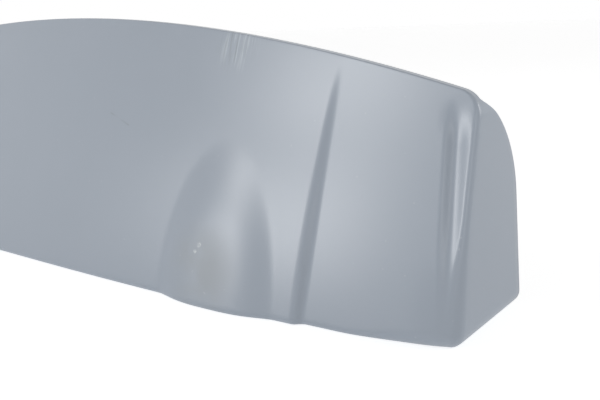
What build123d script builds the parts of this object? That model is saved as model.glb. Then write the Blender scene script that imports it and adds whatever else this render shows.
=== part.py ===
"""Roof spoiler: a one-piece moulded shell that stands on its bonding face.

X runs across the car, Y from the painted skin into the hollow, and Z from the bonding
face to the trailing edge. Lengths are millimetres and angles are degrees. The origin is
the middle of the bonding flange, and depths are taken from the front of the bonding edge.
"""
import os
from math import radians, sqrt, tan

from build123d import *

# Planform, seen square on to the skin
width = 1134.0
chord = 272.0
trailing_radius = 2100.0
fin_lean = 5.0
corner_radius = 23.0

# Skin
crown_depth = 26.0
crown_power = 2.4
lean = 12.6
camber_radius = 1370.0
wall = 3.0
edge_radius = 5.0

# Humps at the bonding edge, one on each side
hump_place = 331.0
hump_half_width = 72.0
hump_length = 154.0
hump_height = 9.0
hump_shoulder = 3.2
hump_rim = 1.8

# Creases where the skin steps down towards the ends
crease_place = 420.0
crease_rake = 2.4
crease_width = 12.0
crease_depth = 5.6
crease_gap = 6.0

# Flutes beside the end ridges, and the sweep of the skin into the foot below each ridge
flute_inset = 27.0
flute_rake = 4.7
flute_width = 9.0
flute_depth = 4.5
flute_start = -10.0
flute_full = 120.0
flute_fade = 158.0
ridge_width = 14.0
ridge_height = 3.0
foot_sweep = 8.0
foot_width = 42.0
foot_height = 80.0

# Fins, trailing lip and bonding flange
fin_depth = 164.5
fin_shoulder = 159.0
fin_taper = 14.0
shoulder_radius = 100.0
fin_corner = 12.0
lip_depth = 4.0
lip_corner = 4.0
flange_width = 26.0
opening_corner = 12.0
origin_depth = 18.0

# Spacing of the points that the skin is drawn through
coarse_step = 24.0
hump_step = 6.0
fine_step = 3.0
row_step = 10.0
skin_margin = 24.0
trim_height = 14.0
block_front = 60.0
block_depth = 320.0


def ease(t):
    """Smooth step from 0 to 1 as t goes from 0 to 1."""
    t = min(max(t, 0.0), 1.0)
    return t * t * (3 - 2 * t)


def joggle(t):
    """Step from 0 to 1 as t goes from 0 to 1, by two equal and opposite bends."""
    t = min(max(t, 0.0), 1.0)
    return 2 * t * t if t < 0.5 else 1 - 2 * (1 - t) ** 2


def trailing_edge(x):
    """Height of the trailing edge above the bonding face."""
    return chord - trailing_radius + sqrt(trailing_radius**2 - x**2)


half_width = width / 2
tip_x = half_width - fin_lean
tip_z = trailing_edge(tip_x)
crease_top = trailing_edge(crease_place) - crease_gap
crease_slope = tan(radians(crease_rake))
flute_slope = tan(radians(flute_rake))


def crown(x):
    """How far the skin has swept back at this distance from the middle."""
    return crown_depth * (abs(x) / half_width) ** crown_power


def hump(x, z):
    """Half-oval swelling with a flat crest, cut off at its full height by the bonding face."""
    across = (abs(x) - hump_place) / hump_half_width
    along = max(z, 0.0) / hump_length
    reach = (across**2 + along**2) ** (hump_shoulder / 2)
    return hump_height * max(0.0, 1 - reach) ** hump_rim


def crease(x, z):
    """Step down outboard of the raked crease, which dies out before the trailing edge."""
    start = crease_place + z * crease_slope
    along = max(0.0, 1 - (max(z, 0.0) / crease_top) ** 2)
    return crease_depth * along * joggle((abs(x) - start) / crease_width)


def flute_line(z):
    """Where the flute starts at this height: it leans outwards towards the bonding edge."""
    return half_width - flute_inset + (flute_full - z) * flute_slope


def flute(x, z):
    """Hollow beside the end ridge, which fades out at the bonding edge and below the trailing edge."""
    rise = ease((z - flute_start) / (flute_full - flute_start))
    fall = ease((tip_z - z) / (tip_z - flute_fade))
    across = abs(x) - flute_line(z)
    hollow = flute_depth * ease(across / flute_width)
    ridge = ridge_height * ease((across - flute_width) / ridge_width)
    return min(rise, fall) * (hollow - ridge)


def foot(x, z):
    """Backward sweep of the skin into the lower corner at each end."""
    across = max(0.0, abs(x) - half_width + foot_width) / foot_width
    return foot_sweep * across**2 * (1 - ease(z / foot_height))


def skin_depth(x, z):
    """Depth of the painted skin behind the front of the bonding edge."""
    camber = z * tan(radians(lean)) + z * abs(z) / (2 * camber_radius)
    return crown(x) + camber + crease(x, z) + flute(x, z) + foot(x, z) - hump(x, z)


def spread(start, end, step):
    """Evenly spaced values from start up to, but without, end."""
    count = max(1, round((end - start) / step))
    return [start + (end - start) * i / count for i in range(count)]


def skin_face(shift):
    """One half of the skin, moved inwards by shift and drawn past the planform on every side."""
    hump_start = hump_place - hump_half_width
    crease_end = crease_place + crease_width + chord * crease_slope
    flute_place = flute_line(chord)
    outside = half_width + skin_margin
    columns = spread(-skin_margin, hump_start, coarse_step)
    columns += spread(hump_start, crease_place, hump_step)
    columns += spread(crease_place, crease_end, fine_step)
    columns += spread(crease_end, flute_place, coarse_step / 2)
    columns += spread(flute_place, outside, fine_step) + [outside]
    rows = spread(-skin_margin, chord + skin_margin, row_step) + [chord + skin_margin]
    front = shift - origin_depth
    points = [[(x, front + skin_depth(x, z), z) for x in columns] for z in rows]
    return Face.make_surface_from_array_of_points(points, tol=0.05, min_deg=3, max_deg=3)


def blank_outline(inset):
    """Half outline of the moulding before its trailing edge is trimmed, drawn in by inset."""
    top_z = chord + trim_height
    top_x = half_width - fin_lean * top_z / tip_z
    with BuildSketch(Plane.XZ.offset(block_front)) as outline:
        with BuildLine():
            Polyline((-half_width, 0), (half_width, 0), (top_x, top_z), (-top_x, top_z), close=True)
        make_face()
        if inset:
            offset(amount=-inset, mode=Mode.REPLACE)
        split(bisect_by=Plane.YZ)
    return outline.sketch


def planform(inset):
    """Half outline of the shell seen square on, drawn in by inset but whole at the middle."""
    with BuildSketch(Plane.XZ.offset(block_front)) as outline:
        with BuildLine():
            Line((-half_width, 0), (half_width, 0))
            Line((half_width, 0), (tip_x, tip_z))
            ThreePointArc((tip_x, tip_z), (0, chord), (-tip_x, tip_z))
            Line((-tip_x, tip_z), (-half_width, 0))
        make_face()
        fillet(outline.vertices().group_by(Axis.Y)[-1], radius=corner_radius)
        if inset:
            offset(amount=-inset, mode=Mode.REPLACE)
        split(bisect_by=Plane.YZ)
    return outline.sketch


def skin_block(inset):
    """Solid behind the skin and within the planform, both drawn in by inset.

    Its end and bonding edge are rolled: round outside, and by a flat bevel inside that keeps the wall even.
    Its trailing edge is then trimmed to a plain edge.
    """
    with BuildPart() as block:
        extrude(skin_face(inset), amount=block_depth, dir=(0, 1, 0))
        extrude(blank_outline(inset), amount=-block_depth, mode=Mode.INTERSECT)
        skin = block.faces().filter_by(GeomType.BSPLINE)[0]
        rim = skin.edges().sort_by(Axis.X)[-1:] + skin.edges().sort_by(Axis.Z)[:1]
        foot = block.edges().filter_by(Axis.Y).group_by(Axis.X)[-1]
        if inset:
            chamfer(rim + foot, length=(2 - sqrt(2)) * (edge_radius - inset))
        else:
            fillet(rim + foot, radius=edge_radius)
        extrude(planform(inset), amount=-block_depth, mode=Mode.INTERSECT)
    return block.part


def fin_outline():
    """Side view of the shell: everything in front of the free edge of the fin and the trailing lip."""
    heel = fin_depth - origin_depth
    shoulder = (heel - fin_taper, fin_shoulder)
    tip_y = skin_depth(tip_x, tip_z) - origin_depth
    lip_y = skin_depth(0, chord) + lip_depth - origin_depth
    lip_z = fin_shoulder + (tip_z - fin_shoulder) * (shoulder[0] - lip_y) / (shoulder[0] - tip_y)
    top = chord + skin_margin
    with BuildSketch(Plane.YZ) as outline:
        with BuildLine():
            Polyline((-block_front, top), (-block_front, 0), (heel, 0), shoulder)
            Polyline(shoulder, (lip_y, lip_z), (lip_y, top), (-block_front, top))
        make_face()
        fillet(outline.vertices().sort_by_distance(shoulder)[0], radius=shoulder_radius)
        fillet(outline.vertices().sort_by_distance((heel, 0))[0], radius=fin_corner)
        fillet(outline.vertices().sort_by_distance((lip_y, lip_z))[0], radius=lip_corner)
    return outline.sketch


def flange_opening():
    """Opening in the bonding face, which leaves the flange along the skin and both fins."""
    side = half_width - flange_width
    middle_y = flange_width - origin_depth
    end_y = middle_y + crease_depth + crown(side)
    with BuildSketch(Plane.XY) as outline:
        with BuildLine():
            ThreePointArc((-side, end_y), (0, middle_y), (side, end_y))
            Polyline((side, end_y), (side, block_depth), (-side, block_depth), (-side, end_y))
        make_face()
        fillet(outline.vertices().group_by(Axis.Y)[0], radius=opening_corner)
    return outline.sketch


with BuildPart() as spoiler_shell:
    add(skin_block(0.0))
    add(skin_block(wall), mode=Mode.SUBTRACT)
    extrude(fin_outline(), amount=half_width, mode=Mode.INTERSECT)
    extrude(flange_opening(), amount=wall, mode=Mode.SUBTRACT)
    mirror(about=Plane.YZ)

spoiler_shell.part.label = "spoiler_shell"
os.makedirs("parts", exist_ok=True)
export_step(spoiler_shell.part, "parts/spoiler_shell.step")
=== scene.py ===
"""Roof spoiler in satin grey primer, standing on its bonding face on a white studio floor."""
import math

import bpy
import numpy as np
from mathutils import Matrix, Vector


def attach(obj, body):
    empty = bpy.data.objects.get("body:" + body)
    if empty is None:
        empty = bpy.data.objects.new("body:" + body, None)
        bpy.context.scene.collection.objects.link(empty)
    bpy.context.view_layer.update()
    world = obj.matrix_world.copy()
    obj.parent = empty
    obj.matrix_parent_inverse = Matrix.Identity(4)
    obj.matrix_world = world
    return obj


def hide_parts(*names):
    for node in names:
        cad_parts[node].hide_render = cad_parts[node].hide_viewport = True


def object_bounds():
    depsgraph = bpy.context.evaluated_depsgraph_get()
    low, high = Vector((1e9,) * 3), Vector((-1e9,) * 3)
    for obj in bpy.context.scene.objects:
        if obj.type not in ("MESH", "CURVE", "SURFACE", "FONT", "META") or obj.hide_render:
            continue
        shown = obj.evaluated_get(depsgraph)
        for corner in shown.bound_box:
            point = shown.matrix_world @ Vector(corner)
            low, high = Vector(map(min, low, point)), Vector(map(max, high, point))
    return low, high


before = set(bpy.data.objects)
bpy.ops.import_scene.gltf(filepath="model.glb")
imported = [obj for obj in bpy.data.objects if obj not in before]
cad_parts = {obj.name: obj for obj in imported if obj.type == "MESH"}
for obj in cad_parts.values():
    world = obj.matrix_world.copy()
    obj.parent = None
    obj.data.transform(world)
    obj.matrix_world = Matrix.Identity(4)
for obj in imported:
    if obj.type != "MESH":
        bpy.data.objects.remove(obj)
cad_box = [list(corner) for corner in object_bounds()]

# Sizes of the shell in millimetres and its angles, the same as those of the solid
WIDTH, CHORD, TRAILING_RADIUS, FIN_LEAN, CORNER_RADIUS = 1134.0, 272.0, 2100.0, 5.0, 23.0
CROWN_DEPTH, CROWN_POWER, LEAN, CAMBER_RADIUS = 26.0, 2.4, math.radians(12.6), 1370.0
WALL, EDGE_RADIUS = 3.0, 5.0
HUMP_PLACE, HUMP_HALF_WIDTH, HUMP_LENGTH = 331.0, 72.0, 154.0
HUMP_HEIGHT, HUMP_SHOULDER, HUMP_RIM = 9.0, 3.2, 1.8
CREASE_PLACE, CREASE_RAKE, CREASE_WIDTH, CREASE_DEPTH, CREASE_GAP = 420.0, math.radians(2.4), 12.0, 5.6, 6.0
FLUTE_INSET, FLUTE_RAKE, FLUTE_WIDTH, FLUTE_DEPTH = 27.0, math.radians(4.7), 9.0, 4.5
FLUTE_START, FLUTE_FULL, FLUTE_FADE = -10.0, 120.0, 158.0
RIDGE_WIDTH, RIDGE_HEIGHT = 14.0, 3.0
FOOT_SWEEP, FOOT_WIDTH, FOOT_HEIGHT = 8.0, 42.0, 80.0
FIN_DEPTH, FIN_SHOULDER, FIN_TAPER, SHOULDER_RADIUS, FIN_CORNER = 164.5, 159.0, 14.0, 100.0, 12.0
LIP_DEPTH, FLANGE_WIDTH, OPENING_CORNER, ORIGIN_DEPTH = 4.0, 26.0, 12.0, 18.0
HALF_WIDTH = WIDTH / 2
MM = 0.001

# Finer finish than the solid's: eased trailing edge, rounder foot with its blend, and bevelled free edges
TRIMMED_RADIUS, FOOT_RADIUS, FOOT_BLEND = 1.6, 14.0, 90.0
TRIM_BEVEL, TRIM_ANGLE = 0.6, math.radians(50)

# Least depth of the wall, how fast the flange reaches the fin's heel, and the margin inside the solid's box
LEAST_WALL, HEEL_RATE, BOX_MARGIN = 1.0, 1.25, 0.05

# Columns of cells from the middle outwards as (from, to, number), closer across the hump, crease and flute
COLUMN_RUNS = [(0, 250, 25), (250, 415, 42), (415, 455, 24), (455, 530, 12)]
FLUTE_FROM, FLUTE_COLUMNS = 530, 22

# Rows of cells over the rolled edge, down the wall behind it, down the end and round the foot
ROLL_ROWS, WALL_ROWS, END_ROWS, FOOT_ROWS = 8, 12, 80, 8
SETTLING_PASSES = 6

# Wear and specks on the right half, in metres: distance from the middle, height and radius, and for a mark
# its strength
# The hazed crest is partly painted shade; the pale crest and ridge specks are painted highlight glints
CREST_HAZE_AND_SHADE, STREAKED_AREA = (0.322, 0.036, 0.055), (0.320, 0.237, 0.030)
SCRATCH_START, SCRATCH_END, SCRATCH_WIDTH = (0.1565, 0.171), (0.1919, 0.1583), 0.0012
# Pale specks on the hump's crest and on the ridge, painted as highlight glints
CREST_GLINTS = [(0.317, 0.0575, 0.0042, 1.0), (0.313, 0.0515, 0.0034, 1.0),
         (0.313, 0.033, 0.0026, 0.7), (0.331, 0.017, 0.0028, 0.7)]
RIDGE_GLINTS = [(0.5595, 0.090, 0.0026, 0.6), (0.5600, 0.081, 0.0022, 0.48)]

# Share of a mark's radius or width that is full, and of a scratch's length that fades at each end
FULL_SHARE, FADE_SHARE = 0.2, 0.1

# Studio: the room's light, the floor's reach and glow, and the lamps' shared target and distance in metres
AMBIENT, FLOOR_REACH, FLOOR_GLOW = 0.30, 40.0, 0.72
LAMP_TARGET, LAMP_DISTANCE = np.array([0.3, 0.03, 0.12]), 3.0

# Camera: lens and sensor in millimetres, place in metres and turn in degrees
CAMERA_LENS, SENSOR_WIDTH = 43.4, 36.0
CAMERA_PLACE, CAMERA_TURN = (0.79142, -0.45513, 0.25197), (76.4875, 2.2951, 37.5543)


def trailing_edge(x):
    """Height of the trailing edge: a circle of the trailing radius that touches the chord at the middle."""
    return CHORD - TRAILING_RADIUS + np.sqrt(TRAILING_RADIUS**2 - x**2)


TIP_X = HALF_WIDTH - FIN_LEAN
TIP_Z = float(trailing_edge(TIP_X))


def ease(t):
    """Cubic step from 0 to 1, level at both ends."""
    t = np.clip(t, 0, 1)
    return t * t * (3 - 2 * t)


def joggle(t):
    """Step from 0 to 1 made of two equal parabolas, one bent each way."""
    t = np.clip(t, 0, 1)
    return np.where(t < 0.5, 2 * t * t, 1 - 2 * (1 - t) ** 2)


def crown(x):
    """Sweep of the skin: a power of the distance from the middle."""
    return CROWN_DEPTH * np.abs(x / HALF_WIDTH) ** CROWN_POWER


def skin(x, z):
    """Depth of the painted skin: crown, lean, camber, crease, flute and foot sweep added, less the hump."""
    x, up = np.abs(x), np.maximum(z, 0)
    reach = ((x - HUMP_PLACE) / HUMP_HALF_WIDTH) ** 2 + (up / HUMP_LENGTH) ** 2
    hump = HUMP_HEIGHT * np.maximum(0, 1 - reach ** (HUMP_SHOULDER / 2)) ** HUMP_RIM
    crease_top = trailing_edge(CREASE_PLACE) - CREASE_GAP
    fade = np.maximum(0, 1 - (up / crease_top) ** 2)
    crease = CREASE_DEPTH * fade * joggle((x - CREASE_PLACE - z * math.tan(CREASE_RAKE)) / CREASE_WIDTH)
    beyond = x - HALF_WIDTH + FLUTE_INSET - (FLUTE_FULL - z) * math.tan(FLUTE_RAKE)
    rise = ease((z - FLUTE_START) / (FLUTE_FULL - FLUTE_START))
    fall = ease((TIP_Z - z) / (TIP_Z - FLUTE_FADE))
    ridge = RIDGE_HEIGHT * ease((beyond - FLUTE_WIDTH) / RIDGE_WIDTH)
    flute = np.minimum(rise, fall) * (FLUTE_DEPTH * ease(beyond / FLUTE_WIDTH) - ridge)
    across = np.maximum(0, x - HALF_WIDTH + FOOT_WIDTH) / FOOT_WIDTH
    foot = FOOT_SWEEP * across**2 * (1 - ease(z / FOOT_HEIGHT))
    camber = z * math.tan(LEAN) + z * np.abs(z) / (2 * CAMBER_RADIUS)
    return crown(x) + camber + crease + flute + foot - hump - ORIGIN_DEPTH


def skin_normal(x, z):
    """Unit normal that points out of the skin, from its slopes over a tenth of a millimetre."""
    h = 0.05
    slope_x = (skin(x + h, z) - skin(x - h, z)) / (2 * h)
    slope_z = (skin(x, z + h) - skin(x, z - h)) / (2 * h)
    normal = np.stack([slope_x, -np.ones_like(slope_x), slope_z], -1)
    return normal / np.linalg.norm(normal, axis=-1, keepdims=True)


def fin_edge(z):
    """Depth of the free edge: heel round, straight rise, shoulder round, straight fall to the tip, lip."""
    heel = FIN_DEPTH - ORIGIN_DEPTH
    shoulder = np.array([heel - FIN_TAPER, FIN_SHOULDER])
    down = np.array([FIN_TAPER, -FIN_SHOULDER]) / math.hypot(FIN_TAPER, FIN_SHOULDER)
    up = np.array([float(skin(TIP_X, TIP_Z)), TIP_Z]) - shoulder
    up = up / np.linalg.norm(up)
    half = math.acos(down @ up) / 2
    centre = shoulder + (down + up) / np.linalg.norm(down + up) * SHOULDER_RADIUS / math.sin(half)
    low, high = shoulder[1] + np.array([down[1], up[1]]) * SHOULDER_RADIUS / math.tan(half)
    edge = np.minimum(heel - FIN_TAPER * z / FIN_SHOULDER, shoulder[0] + (z - FIN_SHOULDER) * up[0] / up[1])
    arc = centre[0] + np.sqrt(np.maximum(SHOULDER_RADIUS**2 - (z - centre[1]) ** 2, 0))
    edge = np.where((z > low) & (z < high), arc, edge)
    heel_round = FIN_CORNER - np.sqrt(np.maximum(FIN_CORNER**2 - np.maximum(FIN_CORNER - z, 0) ** 2, 0))
    return np.maximum(edge - heel_round, float(skin(0.0, CHORD)) + LIP_DEPTH)


def steps(*runs):
    """Joined even spacings: each run gives its start, its end and its number of parts."""
    return np.concatenate([np.linspace(a, b, n, endpoint=False) for a, b, n in runs] + [[runs[-1][1]]])


def half_contour():
    """Planform of the right half as (x, z), its outward directions, and the radius of the edge rolled there.

    It runs along the trailing edge, down the end, round the foot and back along the bonding edge. The counts
    are those of the trailing edge, the end and the bonding edge. The corner at the tip is shared between the
    first two, and round it the radius shrinks to the trimmed one. Near the foot the radius grows to the
    foot's own, on the end and on the bonding edge alike.
    """
    side = np.array([TIP_X - HALF_WIDTH, TIP_Z]) / math.hypot(TIP_X - HALF_WIDTH, TIP_Z)
    side_out = np.array([side[1], -side[0]])
    hub = np.array([0, CHORD - TRAILING_RADIUS])
    start = np.array([HALF_WIDTH, 0]) - side_out * CORNER_RADIUS - hub
    reach = start @ side
    inner = TRAILING_RADIUS - CORNER_RADIUS
    corner = hub + start + side * (math.sqrt(reach**2 - start @ start + inner**2) - reach)
    turn_0, turn_1 = math.atan2(*(corner - hub)), math.atan2(*side_out)
    middle = (turn_0 + turn_1) / 2
    end_x, end_z = corner[0] + CORNER_RADIUS * math.sin(middle), corner[1] + CORNER_RADIUS * math.cos(middle)
    foot_x = HALF_WIDTH - FOOT_RADIUS

    x = steps(*COLUMN_RUNS, (FLUTE_FROM, foot_x, FLUTE_COLUMNS))
    top_x = x * end_x / foot_x
    on_arc = top_x < corner[0] + CORNER_RADIUS * math.sin(turn_0)
    bend = np.arcsin(np.clip((top_x - corner[0]) / CORNER_RADIUS, -1, 1))
    turn = np.where(on_arc, np.arcsin(top_x / TRAILING_RADIUS), bend)
    top_out = np.stack([np.sin(turn), np.cos(turn)], -1)
    top = np.where(on_arc[:, None], hub + TRAILING_RADIUS * top_out, corner + CORNER_RADIUS * top_out)

    z = np.linspace(end_z, FOOT_RADIUS, END_ROWS + 1)[1:]
    lean = np.clip((z - corner[1]) / CORNER_RADIUS, -1, 1)
    turn = np.where(lean > math.cos(turn_1), np.arccos(lean), turn_1)
    end_out = np.stack([np.sin(turn), np.cos(turn)], -1)
    straight = np.array([HALF_WIDTH, 0]) + side * (z / side[1])[:, None]
    end = np.where((lean > math.cos(turn_1))[:, None], corner + CORNER_RADIUS * end_out, straight)

    turn = np.linspace(turn_1, math.pi, FOOT_ROWS + 1)[1:-1]
    foot_out = np.stack([np.sin(turn), np.cos(turn)], -1)
    heel = end[-1] - FOOT_RADIUS * side_out
    foot = heel + FOOT_RADIUS * foot_out
    low_x = x[::-1] * heel[0] / foot_x
    low = np.stack([low_x, np.zeros_like(low_x)], -1)
    low_out = np.tile([0.0, -1.0], (len(low), 1))
    line = np.concatenate([top, end, foot, low])
    outward = np.concatenate([top_out, end_out, foot_out, low_out])
    swing = np.arctan2(*np.concatenate([top_out, end_out]).T)
    above = np.concatenate([np.full(len(top), FOOT_BLEND), z - FOOT_RADIUS])
    from_foot = np.concatenate([above, np.zeros(len(foot)), heel[0] - low_x])
    radius = FOOT_RADIUS + (EDGE_RADIUS - FOOT_RADIUS) * ease(from_foot / FOOT_BLEND)
    blend = ease((swing - turn_0) / (turn_1 - turn_0))
    radius[:len(swing)] = TRIMMED_RADIUS + (radius[:len(swing)] - TRIMMED_RADIUS) * blend
    return line, outward, radius, (len(top), len(end), len(low))


def flange_line(x):
    """Free edge of the flange below each point of the bonding edge, as (x, depth).

    It follows the opening's arc, rounds its corner, then runs down the inside of the fin's own flange.
    """
    side = HALF_WIDTH - FLANGE_WIDTH
    near = FLANGE_WIDTH - ORIGIN_DEPTH
    rise = float(CREASE_DEPTH + crown(side))
    radius = (side**2 + rise**2) / (2 * rise)
    heel = FIN_DEPTH - ORIGIN_DEPTH - FIN_CORNER
    arc = near + radius - np.sqrt(radius**2 - np.minimum(x, side) ** 2)
    turn = np.clip((x - side + OPENING_CORNER) / OPENING_CORNER, 0, 1)
    arc = arc + OPENING_CORNER * (1 - np.sqrt(1 - turn**2))
    down = np.clip((x - side) / (x.max() - side), 0, 1)
    edge_x = np.where(x < x.max(), np.minimum(x, side), x)
    edge_y = np.where(x > side, arc + (heel - arc) * np.minimum(down * HEEL_RATE, 1), arc)
    return edge_x, edge_y


def shell_sheet():
    """Outer surface of the right half as two grids of points.

    The first is the skin inside the rolled edge, blended from its four sides. The second runs round it: over
    the rolled edge, from the skin's normal to the wall's about the centre of a ball, then down the wall to
    the free edge. A few passes settle each ball against the skin, and the grids share the points of the seam.
    """
    line, out, radius, (n_top, n_end, n_low) = half_contour()
    centre = line - out * radius[:, None]
    place = centre
    for _ in range(SETTLING_PASSES):
        normal = skin_normal(place[:, 0], place[:, 1])
        place = centre + radius[:, None] * normal[:, [0, 2]]
    depth = skin(place[:, 0], place[:, 1])
    ball = np.stack([centre[:, 0], depth - radius * normal[:, 1], centre[:, 1]], -1)
    wall = np.stack([out[:, 0], np.zeros(len(out)), out[:, 1]], -1)

    angle = np.arccos(np.clip((normal * wall).sum(-1), -1, 1))[None, :, None]
    t = np.linspace(0, 1, ROLL_ROWS + 1)[:, None, None]
    roll = (np.sin((1 - t) * angle) * normal + np.sin(t * angle) * wall) / np.sin(angle)
    band = ball + radius[None, :, None] * roll
    edge = band[-1].copy()
    edge[:, 1] = np.maximum(fin_edge(edge[:, 2]), edge[:, 1] + LEAST_WALL)
    low = slice(len(edge) - n_low, None)
    edge[low, 0], edge[low, 1] = flange_line(edge[low, 0])
    s = np.linspace(0, 1, WALL_ROWS + 1)[1:, None, None]
    rim = np.concatenate([band, band[-1] * (1 - s) + edge * s])

    top, end = place[:n_top], place[n_top - 1:n_top + n_end]
    bottom, right = place[low][::-1], end[::-1]
    u = (bottom[:, 0] / bottom[-1, 0])[None, :, None]
    v = ((right[:, 1] - right[0, 1]) / (right[-1, 1] - right[0, 1]))[:, None, None]
    left = bottom[0] + (top[0] - bottom[0]) * v[:, 0]
    flat = (1 - v) * bottom + v * top + (1 - u) * left[:, None] + u * right[:, None]
    flat = flat - (1 - u) * ((1 - v) * bottom[0] + v * top[0]) - u * ((1 - v) * bottom[-1] + v * top[-1])
    core = np.stack([flat[..., 0], skin(flat[..., 0], flat[..., 1]), flat[..., 1]], -1)
    seam = rim[0]
    core[0], core[-1], core[:, -1] = seam[low][::-1], seam[:n_top], seam[n_top - 1:n_top + n_end][::-1]
    return core, rim


def fit_box(points):
    """Points held inside the box of the solid by a small margin, or by none at the floor."""
    low, high = np.array(cad_box) / MM
    inner = np.clip(points, low + BOX_MARGIN, high - BOX_MARGIN)
    inner[..., 2] = np.where(points[..., 2] < BOX_MARGIN, np.maximum(points[..., 2], 0), inner[..., 2])
    return inner


def grid_faces(points, flip):
    """Corner points of every cell of a grid, in turn or in reverse."""
    corners = [points[:-1, :-1], points[:-1, 1:], points[1:, 1:], points[1:, :-1]]
    cells = np.stack(corners, 2).reshape(-1, 4, 3)
    return cells[:, ::-1] if flip else cells


def mesh_from_cells(name, cells):
    """One mesh from loose four-sided cells.

    Corners equal to a ten-thousandth of a millimetre become one vertex. A cell with equal corners loses one.
    """
    corners = np.round(cells.reshape(-1, 3), 4)
    points, index = np.unique(corners, axis=0, return_inverse=True)
    index = index.reshape(-1, 4)
    keep = index != np.roll(index, 1, axis=1)
    counts = keep.sum(1)
    good = counts >= 3
    loops = index[good][keep[good]]
    counts = counts[good]
    mesh = bpy.data.meshes.new(name)
    mesh.vertices.add(len(points))
    mesh.vertices.foreach_set("co", (points * MM).astype(np.float32).ravel())
    mesh.loops.add(len(loops))
    mesh.loops.foreach_set("vertex_index", loops.astype(np.int32))
    mesh.polygons.add(len(counts))
    mesh.polygons.foreach_set("loop_start", np.concatenate([[0], np.cumsum(counts)[:-1]]).astype(np.int32))
    mesh.polygons.foreach_set("use_smooth", np.ones(len(counts), bool))
    mesh.update(calc_edges=True)
    mesh.validate()
    return mesh


def make_shell():
    """The whole spoiler: the right half and its mirror image, given the wall's thickness inwards."""
    core, rim = [fit_box(grid) for grid in shell_sheet()]
    mirror = np.array([-1.0, 1.0, 1.0])
    cells = [grid_faces(core, False), grid_faces(rim, False)]
    cells += [grid_faces(core * mirror, True), grid_faces(rim * mirror, True)]
    shell = bpy.data.objects.new("primed_shell", mesh_from_cells("primed_shell", np.concatenate(cells)))
    bpy.context.scene.collection.objects.link(shell)
    wall = shell.modifiers.new("wall", "SOLIDIFY")
    wall.thickness, wall.offset, wall.use_even_offset = WALL * MM, -1, True
    wall.material_offset, wall.material_offset_rim = 1, 0
    trim = shell.modifiers.new("trimmed_edges", "BEVEL")
    trim.width, trim.segments, trim.limit_method, trim.angle_limit = TRIM_BEVEL * MM, 2, "ANGLE", TRIM_ANGLE
    return shell


class Value:
    """A shader socket with arithmetic; each operation adds a Math node to the material."""

    def __init__(self, paint, socket):
        self.paint, self.socket = paint, socket

    def __add__(self, other):
        return self.paint.math("ADD", self, other)

    def __radd__(self, other):
        return self.paint.math("ADD", other, self)

    def __sub__(self, other):
        return self.paint.math("SUBTRACT", self, other)

    def __rsub__(self, other):
        return self.paint.math("SUBTRACT", other, self)

    def __mul__(self, other):
        return self.paint.math("MULTIPLY", self, other)

    def __rmul__(self, other):
        return self.paint.math("MULTIPLY", other, self)

    def __truediv__(self, other):
        return self.paint.math("DIVIDE", self, other)

    def __rtruediv__(self, other):
        return self.paint.math("DIVIDE", other, self)

    def __pow__(self, other):
        return self.paint.math("POWER", self, other)

    def __rpow__(self, other):
        return self.paint.math("POWER", other, self)


class Paint:
    """The nodes of a new material with the given name, or those of the world."""

    def __init__(self, owner):
        self.material = bpy.data.materials.new(owner) if isinstance(owner, str) else owner
        self.material.use_nodes = True
        self.tree = self.material.node_tree
        self.shader = self.tree.nodes.get("Principled BSDF")
        self.place = self.node("ShaderNodeTexCoord", {}, {}, "Object")

    def node(self, kind, settings, inputs, output=0):
        """Adds one node: its type, its settings, the values or links of its inputs, and the output to use."""
        made = self.tree.nodes.new(kind)
        for key, value in settings.items():
            setattr(made, key, value)
        for key, value in inputs.items():
            if isinstance(value, Value):
                self.tree.links.new(value.socket, made.inputs[key])
            else:
                made.inputs[key].default_value = value
        return Value(self, made.outputs[output])

    def math(self, operation, *values):
        """One Math node: the operation on the values in their order."""
        return self.node("ShaderNodeMath", {"operation": operation}, dict(enumerate(values)))

    def noise(self, scale, detail=3.0, stretch=(1, 1, 1)):
        """Noise of the given number of waves a metre, times the stretch along each axis."""
        where = self.node("ShaderNodeMapping", {}, {"Vector": self.place, "Scale": stretch})
        inputs = {"Vector": where, "Scale": scale, "Detail": detail, "Roughness": 0.5}
        return self.node("ShaderNodeTexNoise", {}, inputs)

    def ramp(self, value, low, high):
        """0 below low, 1 above high, and an eased rise between."""
        kind = {"interpolation_type": "SMOOTHSTEP", "clamp": True}
        return self.node("ShaderNodeMapRange", kind, {"Value": value, "From Min": low, "From Max": high})

    def mix(self, factor, first, second):
        """Blend of two colours."""
        return self.node("ShaderNodeMix", {"data_type": "RGBA"}, {0: factor, 6: first, 7: second}, 2)

    def axes(self):
        """The three coordinates of the place that is shaded, in metres."""
        parts = self.node("ShaderNodeSeparateXYZ", {}, {0: self.place}).socket.node.outputs
        return [Value(self, part) for part in parts]

    def spot(self, x, z, radius):
        """1 at a place given by x, to the right of the middle, and height, easing to 0 at the radius."""
        across, _, up = self.axes()
        away = ((across - x) ** 2 + (up - z) ** 2) ** 0.5
        return 1 - self.ramp(away, FULL_SHARE * radius, radius)

    def stroke(self, start, end, width):
        """1 along the line between two places given as (x, height), easing to 0 at its sides and its ends."""
        x, _, z = self.axes()
        run, rise = end[0] - start[0], end[1] - start[1]
        length = math.hypot(run, rise)
        along = ((x - start[0]) * run + (z - start[1]) * rise) / length
        aside = ((x - start[0]) * rise - (z - start[1]) * run) / length
        begun = self.ramp(along, 0, FADE_SHARE * length)
        ended = self.ramp(along, (1 - FADE_SHARE) * length, length)
        beside = self.ramp(self.math("ABSOLUTE", aside), FULL_SHARE * width, width)
        return begun * (1 - ended) * (1 - beside)

    def feed(self, **sockets):
        """Links or sets the shader's own sockets; underscores stand for spaces."""
        for key, value in sockets.items():
            socket = self.shader.inputs[key.replace("_", " ")]
            if isinstance(value, Value):
                self.tree.links.new(value.socket, socket)
            else:
                socket.default_value = value


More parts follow.
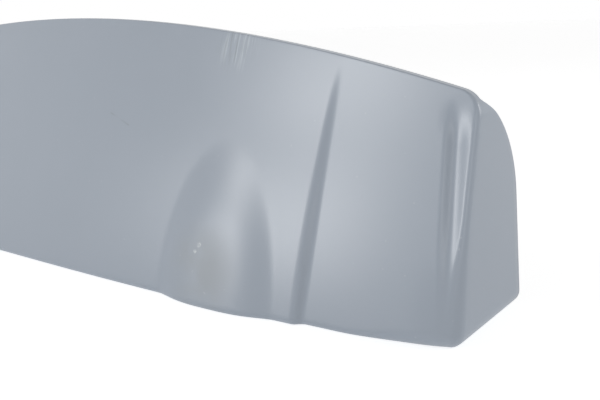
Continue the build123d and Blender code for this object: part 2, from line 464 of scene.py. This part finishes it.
def rgba(red, green, blue):
    """Linear colour from display values of 0 to 255: a straight foot, then a power of 2.4."""
    level = np.array([red, green, blue]) / 255
    linear = np.where(level <= 0.04045, level / 12.92, ((level + 0.055) / 1.055) ** 2.4)
    return (*[float(v) for v in linear], 1.0)


def grey(level):
    """Linear grey of one level."""
    return (level, level, level, 1.0)


def primer():
    """Satin blue-grey primer with faint clouds and orange peel, its wear and dust, and some painted light and
    shade.

    The hump's crest is hazed and darkened with painted shade, and carries pale specks painted as highlight
    glints;
    the trailing edge above it has a patch of short upright lighter and darker streaks, a faint scratch
    crosses the skin nearer the middle, the ridge has more pale specks painted as highlight glints, and dust
    lies all over.
    """
    paint = Paint("primer")
    cloud, mottle = paint.noise(5.0, detail=4.0), paint.noise(24.0)
    colour = paint.mix(cloud, rgba(152, 162, 174), rgba(158, 168, 180))
    colour = paint.mix(0.16 * mottle, colour, rgba(170, 174, 188))

    # A darker tint over the hump's crest: partly real hazing of the primer, partly painted shade where the
    # hump lies darker than its surroundings
    crest_haze_and_shade = paint.spot(*CREST_HAZE_AND_SHADE) * paint.ramp(mottle, 0.2, 0.6)
    colour = paint.mix(0.55 * crest_haze_and_shade, colour, rgba(150, 155, 158))
    # A patch of short upright lighter and darker streaks near the trailing edge above the hump
    streak = paint.ramp(paint.noise(1.0, detail=2.0, stretch=(420, 6, 26)), 0.50, 0.62)
    shade = paint.ramp(paint.noise(1.0, detail=2.0, stretch=(380, 5, 30)), 0.53, 0.64)
    streaked_area = paint.spot(*STREAKED_AREA)
    colour = paint.mix(0.7 * streaked_area * streak, colour, rgba(186, 195, 202))
    colour = paint.mix(0.6 * streaked_area * shade, colour, rgba(132, 141, 150))
    scratch = paint.stroke(SCRATCH_START, SCRATCH_END, SCRATCH_WIDTH) * paint.ramp(mottle, 0.35, 0.55)
    colour = paint.mix(0.45 * scratch, colour, rgba(124, 132, 141))

    # Pale specks on the hump's crest and the ridge: painted highlight glints
    glint_spots = sum(strength * paint.spot(x, z, radius) for x, z, radius, strength in CREST_GLINTS + RIDGE_GLINTS)
    glints = paint.ramp(glint_spots * (3.2 * paint.noise(420.0) - 0.9), 0.1, 1.1)
    colour = paint.mix(0.85 * glints, colour, rgba(204, 209, 212))
    cell = {0: paint.place, "Scale": 150.0}
    far = paint.node("ShaderNodeTexVoronoi", {}, cell, "Distance")
    draw = paint.node("ShaderNodeTexVoronoi", {}, cell, "Color")
    pick = paint.node("ShaderNodeSeparateColor", {}, {0: draw})
    dust = (1 - paint.ramp(far, 0.08, 0.16)) * paint.ramp(pick, 0.93, 0.94)
    colour = paint.mix(0.30 * dust, colour, rgba(190, 194, 198))

    peel = paint.noise(520.0, detail=2.0)
    bump = paint.node("ShaderNodeBump", {}, {"Strength": 0.05, "Distance": 0.0004, "Height": peel})
    dull = 0.16 * crest_haze_and_shade + 0.12 * streaked_area * streak + 0.15 * dust
    paint.feed(Base_Color=colour, Roughness=0.27 + 0.06 * cloud + dull, Normal=bump, Specular_IOR_Level=0.9)
    return paint.material


def inside():
    """Bare back of the moulding: duller, with a dusting of overspray that thickens towards the free edges."""
    paint = Paint("overspray")
    cloud, grain = paint.noise(9.0, detail=5.0), paint.noise(260.0)
    flow = paint.noise(1.0, stretch=(6, 14, 40))
    colour = paint.mix(cloud, rgba(136, 142, 149), rgba(152, 158, 165))
    colour = paint.mix(0.35 * paint.ramp(flow, 0.45, 0.65), colour, rgba(126, 132, 139))
    _, depth, height = paint.axes()
    near = paint.ramp(depth, 0.06, 0.14) + paint.ramp(height, 0.20, 0.26) + 1 - paint.ramp(height, 0.0, 0.03)
    mist = paint.ramp(near + 0.6 * grain, 0.4, 1.4)
    colour = paint.mix(0.6 * mist, colour, rgba(163, 171, 181))
    bump = paint.node("ShaderNodeBump", {}, {"Strength": 0.25, "Distance": 0.0005, "Height": grain})
    paint.feed(Base_Color=colour, Roughness=0.62 + 0.12 * cloud - 0.1 * mist, Normal=bump)
    return paint.material


def make_floor():
    """White floor that keeps the shadow, with light of its own: more for the camera, less for the part."""
    mesh = bpy.data.meshes.new("floor")
    corners = [(a * FLOOR_REACH, b * FLOOR_REACH, 0) for a, b in ((-1, -1), (1, -1), (1, 1), (-1, 1))]
    mesh.from_pydata(corners, [], [(0, 1, 2, 3)])
    floor = bpy.data.objects.new("floor", mesh)
    bpy.context.scene.collection.objects.link(floor)
    paint = Paint("studio_floor")
    seen = paint.node("ShaderNodeLightPath", {}, {}, "Is Camera Ray")
    speck = paint.noise(3.0)
    paint.feed(Base_Color=paint.mix(speck, grey(0.60), grey(0.62)), Roughness=0.9)
    paint.feed(Emission_Color=paint.mix(seen, grey(0.6), grey(1.0)), Emission_Strength=FLOOR_GLOW)
    mesh.materials.append(paint.material)


def make_world():
    """Even room light; the camera and reflections see plain white."""
    world = bpy.data.worlds.new("room")
    world.use_nodes = True
    bpy.context.scene.world = world
    room = Paint(world)
    seen = room.node("ShaderNodeLightPath", {}, {}, "Is Camera Ray")
    for ray in ("Is Glossy Ray", "Is Transmission Ray"):
        seen = room.math("MAXIMUM", seen, room.node("ShaderNodeLightPath", {}, {}, ray))
    light = room.node("ShaderNodeBackground", {}, {"Color": grey(1.0), "Strength": AMBIENT})
    white = room.node("ShaderNodeBackground", {}, {"Color": grey(1.0), "Strength": 1.0})
    both = room.node("ShaderNodeMixShader", {}, {0: seen, 1: light, 2: white})
    room.tree.links.new(both.socket, room.tree.nodes["World Output"].inputs["Surface"])


def softbox(name, azimuth, elevation, width, height, power):
    """Lamp of a width and height in metres that faces the right half from a bearing in degrees."""
    lamp = bpy.data.lights.new(name, "AREA")
    lamp.shape, lamp.size, lamp.size_y, lamp.energy = "RECTANGLE", width, height, power
    holder = bpy.data.objects.new(name, lamp)
    a, e = math.radians(azimuth), math.radians(elevation)
    back = np.array([math.sin(a) * math.cos(e), -math.cos(a) * math.cos(e), math.sin(e)])
    holder.location = LAMP_TARGET + back * LAMP_DISTANCE
    holder.rotation_euler = (math.pi / 2 - e, 0, a)
    bpy.context.scene.collection.objects.link(holder)


shell = make_shell()
shell.data.materials.append(primer())
shell.data.materials.append(inside())
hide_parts("spoiler_shell")
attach(shell, "root")

make_floor()
make_world()
softbox("key", azimuth=-32, elevation=10, width=0.9, height=0.7, power=8)
softbox("upper", azimuth=-27, elevation=33, width=0.8, height=1.0, power=15)
softbox("near", azimuth=-24, elevation=12, width=0.4, height=0.9, power=5.5)
softbox("side", azimuth=118, elevation=22, width=1.4, height=1.4, power=22)
softbox("fill", azimuth=42, elevation=14, width=0.8, height=1.0, power=3)

camera = bpy.data.objects.new("camera", bpy.data.cameras.new("camera"))
camera.data.sensor_width, camera.data.lens = SENSOR_WIDTH, CAMERA_LENS
camera.location = CAMERA_PLACE
camera.rotation_euler = [math.radians(angle) for angle in CAMERA_TURN]
bpy.context.scene.collection.objects.link(camera)
bpy.context.scene.camera = camera
bpy.context.scene.view_settings.view_transform = "Standard"
